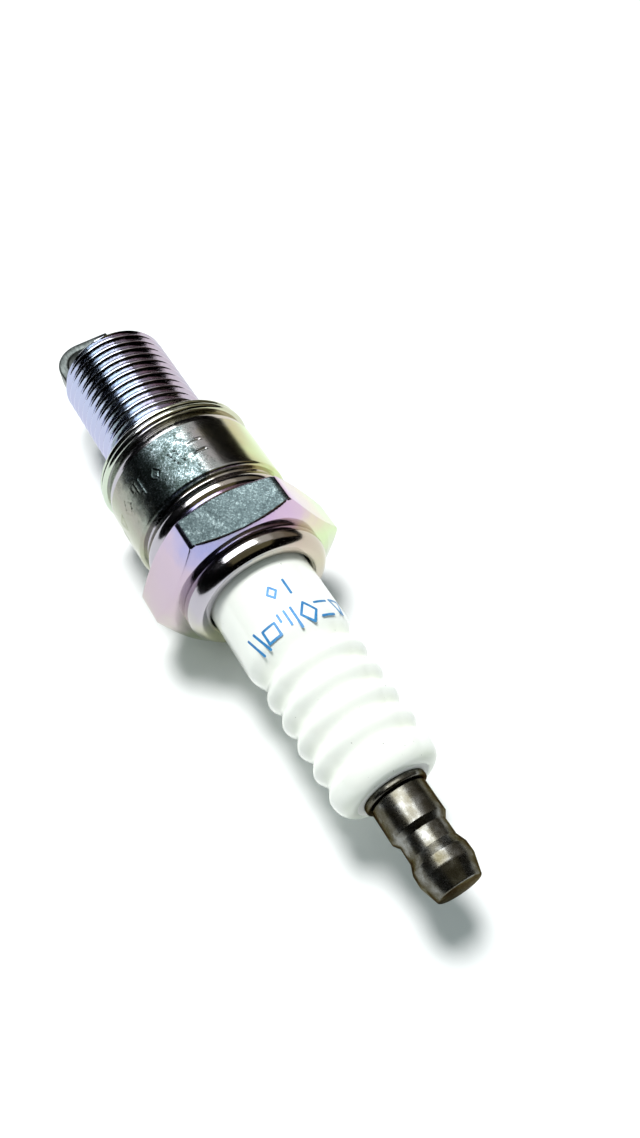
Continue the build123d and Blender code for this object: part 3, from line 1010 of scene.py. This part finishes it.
def insulator(glazed, fired):
    """The ceramic: nose and core inside the shell, and the glazed, grooved head."""
    outline = rounded(
        [
            (-21.0, PIN_BORE_R, 0), (-21.0, 2.35, 0.3), (-8.2, 3.60, 0.3), (-7.3, 4.46, 0),
            (-6.5, 5.05, 0.2), (3.0, 5.05, 0.2), (5.6, 7.80, 0.2), (13.2, 7.80, 0.3),
            (13.2, INSULATOR_R, 0.1), (HEAD_FROM, INSULATOR_R, 0),
        ],
        4,
    )
    outline += insulator_head()
    outline += [(HEAD_END, 2.1), (HEAD_END - 0.15, STUD_BORE_R)]
    outline += [(-2.8, STUD_BORE_R), (-3.2, PIN_BORE_R)]

    def finish_at(point):
        """0 for glazed, on the head's outside, and 1 for fired, anywhere else."""
        return 0 if point[0] > 15 and point[1] > 4.0 else 1

    finishes = [glazed, fired]
    return lathe("ribbed_insulator", outline, 160, finishes, sharp=60, part_at=finish_at, looped=True)


STUD_PROFILE = ((0.0, 0.0), (0.12, 0.12), (0.38, 0.92), (0.5, 1.0), (0.62, 0.92), (0.88, 0.12))


def terminal_stud(metal):
    """The stud: its shank down the bore, a collar on the ceramic's end, and its screw thread."""
    bottom, tip, shank, collar, root = 12.6, 1.55, 1.92, 3.60, STUD_THREAD_R - STUD_THREAD_DEPTH
    start, end = 49.6, 57.1
    outline = rounded(
        [
            (bottom, 0.6, 0), (bottom, tip, 0.15), (14.6, tip, 0.05), (14.6, shank, 0.05),
            (HEAD_END, shank, 0), (HEAD_END, collar, 0.18),
            (48.95, collar, 0.2), (48.95, root, 0), (49.5, root, 0),
        ],
        4,
    )

    def radius_at(station, depth):
        ramp = min(station - start, end - station) + root
        return soft_min(STUD_THREAD_R - STUD_THREAD_DEPTH * depth, ramp, 0.05)

    skin = Skin(even_angles(72))
    foot = skin.ring(*outline[0])
    skin.close(foot, bottom, forward=False)
    last = skin.grow(foot, outline[1:])
    pitch = STUD_THREAD_PITCH
    first, top = helix(skin, (start, root), (end, root), pitch, STUD_PROFILE, radius_at)
    skin.bridge(last, first)
    face = skin.grow(top, [(end + 0.1, 1.45)])
    skin.close(face, end + 0.1)
    return skin.build("terminal_screw", [metal], sharp=40)


def terminal_nut(metal):
    """The screw-on terminal, turned: barrel, shoulder, snap neck and barrel-shaped contact."""
    outside = rounded(
        [
            (49.05, NUT_BORE_R, 0), (49.05, 3.20, 0.22), (52.80, 3.20, 0.10), (53.50, 2.72, 0.12),
            (55.35, 2.73, 0.15), (56.45, 3.15, 0.25), (57.70, 3.18, 1.0), (59.90, 2.54, 0.25),
            (59.90, 0.0, 0),
        ],
        6,
    )
    bore = [(58.7, 0.0), (57.9, NUT_BORE_R)]
    return lathe("terminal_cap", bore + outside, 128, [metal], sharp=50)


def strap_path():
    """The strap's middle line as (station, y) points: its leg, its bend, and its bar."""
    bar = PIN_TIP - SPARK_GAP - STRAP_THICK / 2
    path = [(-REACH - rise, -STRAP_LEG_R) for rise in (0.0, 0.6, 1.4)]
    steps = 12
    for k in range(steps + 1):
        turn = math.pi / 2 * k / steps
        station = bar + STRAP_BEND_R * (1 - math.sin(turn))
        path.append((station, STRAP_BEND_R * (1 - math.cos(turn)) - STRAP_LEG_R))
    return path + [(bar, y) for y in (-1.9, 0.0, STRAP_OVERHANG - 0.12, STRAP_OVERHANG)]


def strap_section():
    """The strap's cross-section, with rounded edges: (across, outward) from its middle line."""
    flat_x, flat_y = STRAP_WIDTH / 2 - STRAP_EDGE_R, STRAP_THICK / 2 - STRAP_EDGE_R
    steps = 4
    section = []
    for quarter, (x, y) in enumerate(((1, 1), (-1, 1), (-1, -1), (1, -1))):
        for k in range(steps + 1):
            turn = math.pi / 2 * (quarter + k / steps)
            across = x * flat_x + STRAP_EDGE_R * math.cos(turn)
            section.append((across, y * flat_y + STRAP_EDGE_R * math.sin(turn)))
    return section


def ground_electrode(metal):
    """The strap, from its flared weld on the rim round over the centre electrode."""
    path, section = strap_path(), strap_section()
    sizes = [1.10, 1.04] + [1.0] * (len(path) - 3) + [0.93]
    count = len(section)
    points, faces = [], []
    for n, (station, y) in enumerate(path):
        before, after = path[max(n - 1, 0)], path[min(n + 1, len(path) - 1)]
        along = (Vector(after) - Vector(before)).normalized() * sizes[n]
        for across, outward in section:
            x = station - along.y * outward
            level = AXIS_Z + across * sizes[n] * MM
            points.append((SEAT_X + x * MM, (y + along.x * outward) * MM, level))
    for n in range(len(path) - 1):
        for k in range(count):
            here, beside = n * count + k, n * count + (k + 1) % count
            faces.append((here, beside, beside + count, here + count))
    faces += [tuple(range(count)), tuple(range(len(points) - count, len(points)))]
    return solid("strap_electrode", points, faces, [metal], sharp=40)


def centre_electrode(metal):
    """The centre electrode's sheath, hollow for its copper core."""
    sheath, head, core = 1.25, 1.88, 0.62
    outline = rounded(
        [
            (PIN_TIP, 0.0, 0), (PIN_TIP, sheath, 0.14), (-3.2, sheath, 0), (-2.8, head, 0),
            (-1.5, head, 0), (-1.5, core, 0), (-18.5, core, 0), (-19.0, 0.0, 0),
        ],
        4,
    )
    return lathe("centre_pin", outline, 64, [metal], sharp=40)


# ---- putting the pieces on the frame -----------------------------------------------------------


def stand_for(piece, body, slot, *nodes):
    """Puts a piece on its body, and hides the CAD nodes that it stands for. Its slot is not used."""
    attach(piece, body)
    if nodes:
        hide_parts(*nodes)


plates = [
    zinc("thread_plate", THREAD_TINTS_WITH_PAINTED_REFLECTION, gloss=0.03, grain=0.12, relief=4.0, wear=THREAD_WEAR),
    zinc("barrel_plate", BARREL_TINTS_WITH_PAINTED_REFLECTION, gloss=0.10, grain=0.12, wear=BARREL_WEAR),
    zinc("hexagon_plate", HEXAGON_TINTS_WITH_PAINTED_REFLECTION, gloss=0.07, grain=0.16, wear=HEXAGON_WEAR),
    zinc("crimp_plate", CRIMP_TINTS_WITH_PAINTED_REFLECTION, gloss=0.06, grain=0.16),
]
gasket_metal = zinc("gasket_plate", GASKET_TINTS_WITH_PAINTED_REFLECTION, gloss=0.08, grain=0.12)
terminal_metal = bronze()
nickel_metal = nickel()

stand_for(metal_shell(plates), "plug", "plated_steel", "metal_shell")
stand_for(gasket(gasket_metal), "gasket_ring", "gasket_steel", "gasket")
stand_for(insulator(glaze(), bisque()), "plug", "glazed_alumina", "insulator")
stand_for(terminal_stud(terminal_metal), "plug", "terminal_metal", "terminal_stud")
stand_for(terminal_nut(terminal_metal), "nut", "terminal_metal", "terminal_nut")
stand_for(ground_electrode(nickel_metal), "plug", "nickel_alloy", "ground_electrode")
stand_for(centre_electrode(nickel_metal), "plug", "nickel_alloy", "centre_electrode")
stand_for(printed_marks(print_ink()), "plug", "glazed_alumina")

# The hidden pieces keep their CAD meshes and get a better material.
COPPER_DARK, COPPER_LIGHT = (0.55, 0.24, 0.13), (0.80, 0.42, 0.26)
SEAL_DARK, SEAL_LIGHT = (0.10, 0.06, 0.04), (0.34, 0.20, 0.12)
FILLINGS = {
    "centre_electrode_core": powder(
        "copper_core", COPPER_DARK, COPPER_LIGHT, metallic=1.0, roughness=0.35
    ),
    "upper_glass_seal": powder("upper_seal", SEAL_DARK, SEAL_LIGHT, roughness=0.4),
    "lower_glass_seal": powder("lower_seal", SEAL_DARK, SEAL_LIGHT, roughness=0.4),
    "resistor_element": powder("resistor", (0.02, 0.02, 0.02), (0.09, 0.09, 0.10)),
    "talc_packing": powder("talc", (0.66, 0.66, 0.62), (0.84, 0.84, 0.80)),
    "lower_packing_ring": nickel_metal,
    "upper_packing_ring": nickel_metal,
    "seat_packing_washer": nickel_metal,
}
for node, material in FILLINGS.items():
    for slot in frame["nodes"][node].material_slots:
        slot.material = material


# ---- floor, light and camera, in metres --------------------------------------------------------

FLOOR_HALF = 2.0
FLOOR_CELLS = 8

PANEL_HEIGHT = 0.80
# The level lights seen in the gloss: name, two corners (x, y), radiance and colour.
PANELS = (
    ("mirrored_lamp", (-0.92, -0.47), (-0.07, 0.26), 8.0, (0.95, 0.98, 1.0)),
    ("mirrored_ceiling", (-0.92, 0.26), (0.10, 0.72), 0.60, (1.0, 0.98, 0.96)),
    ("mirrored_slope", (-0.80, 0.72), (0.20, 1.40), 0.28, (1.0, 0.95, 0.86)),
    ("mirrored_wall", (-0.80, 1.40), (0.30, 5.0), 0.20, (1.0, 0.90, 0.70)),
    ("mirrored_near", (-0.07, -0.40), (0.80, 0.70), 0.13, (1.0, 0.88, 0.46)),
)
KEY_FROM = (-0.29, 0.02, 0.90)
KEY_STRENGTH = 3.4
KEY_SPREAD = math.radians(19)
WORLD_TINT = (0.85, 1.0, 0.99)
WORLD_SEEN = 1.15
WORLD_FILL = 0.34

CAMERA_AIM = (0.004018, 0.007239, AXIS_Z)
CAMERA_AZIMUTH = math.radians(61.2)
CAMERA_ELEVATION = math.radians(57.49)
CAMERA_ROLL = math.radians(-2.5)
CAMERA_DISTANCE = 0.12095
CAMERA_LENS = 33.38


def floor():
    """A wide sheet of paper at height 0."""
    mesh = bpy.data.meshes.new("paper")
    work = bmesh.new()
    bmesh.ops.create_grid(work, x_segments=FLOOR_CELLS, y_segments=FLOOR_CELLS, size=FLOOR_HALF)
    work.to_mesh(mesh)
    work.free()
    mesh.materials.append(paper())
    sheet = bpy.data.objects.new("paper", mesh)
    bpy.context.scene.collection.objects.link(sheet)


def panel(name, low, high, radiance, colour):
    """A level light between two corners that shows in gloss only."""
    lamp = bpy.data.lights.new(name, "AREA")
    lamp.shape = "RECTANGLE"
    lamp.size, lamp.size_y = high[0] - low[0], high[1] - low[1]
    lamp.energy = radiance * math.pi * lamp.size * lamp.size_y
    lamp.color = colour
    holder = bpy.data.objects.new(name, lamp)
    holder.location = ((low[0] + high[0]) / 2, (low[1] + high[1]) / 2, PANEL_HEIGHT)
    holder.visible_diffuse = False
    bpy.context.scene.collection.objects.link(holder)


def key():
    """The main light: broad, from high over the thread end, and it doesn't show in gloss."""
    lamp = bpy.data.lights.new("key", "SUN")
    lamp.energy = KEY_STRENGTH
    lamp.angle = KEY_SPREAD
    holder = bpy.data.objects.new("key", lamp)
    holder.rotation_mode = "QUATERNION"
    holder.rotation_quaternion = (-Vector(KEY_FROM)).to_track_quat("-Z", "Y")
    holder.visible_glossy = False
    bpy.context.scene.collection.objects.link(holder)


def world():
    """White where the camera sees past the paper, a fill on matt surfaces, and black in gloss."""
    scene = bpy.context.scene
    scene.world = bpy.data.worlds.new("studio")
    scene.world.use_nodes = True
    tree = scene.world.node_tree
    back = tree.nodes["Background"]
    rays = tree.nodes.new("ShaderNodeLightPath")
    fill = tree.nodes.new("ShaderNodeMath")
    fill.operation = "MULTIPLY"
    fill.inputs[1].default_value = WORLD_FILL
    tree.links.new(rays.outputs["Is Diffuse Ray"], fill.inputs[0])
    total = tree.nodes.new("ShaderNodeMath")
    total.operation = "MULTIPLY_ADD"
    total.inputs[1].default_value = WORLD_SEEN
    tree.links.new(rays.outputs["Is Camera Ray"], total.inputs[0])
    tree.links.new(fill.outputs[0], total.inputs[2])
    tree.links.new(total.outputs[0], back.inputs["Strength"])
    back.inputs["Color"].default_value = (*WORLD_TINT, 1)


def camera():
    """The photo's view."""
    level = math.cos(CAMERA_ELEVATION)
    across, along = math.sin(CAMERA_AZIMUTH) * level, -math.cos(CAMERA_AZIMUTH) * level
    back = Vector((across, along, math.sin(CAMERA_ELEVATION)))
    lens = bpy.data.cameras.new("view")
    lens.lens = CAMERA_LENS
    lens.clip_start = 0.005
    eye = bpy.data.objects.new("view", lens)
    eye.location = Vector(CAMERA_AIM) + back * CAMERA_DISTANCE
    eye.rotation_mode = "QUATERNION"
    roll = Quaternion((0, 0, 1), CAMERA_ROLL)
    eye.rotation_quaternion = (-back).to_track_quat("-Z", "Y") @ roll
    bpy.context.scene.collection.objects.link(eye)
    bpy.context.scene.camera = eye


floor()
world()
for settings in PANELS:
    panel(*settings)
key()
camera()
bpy.context.scene.view_settings.view_transform = "Standard"
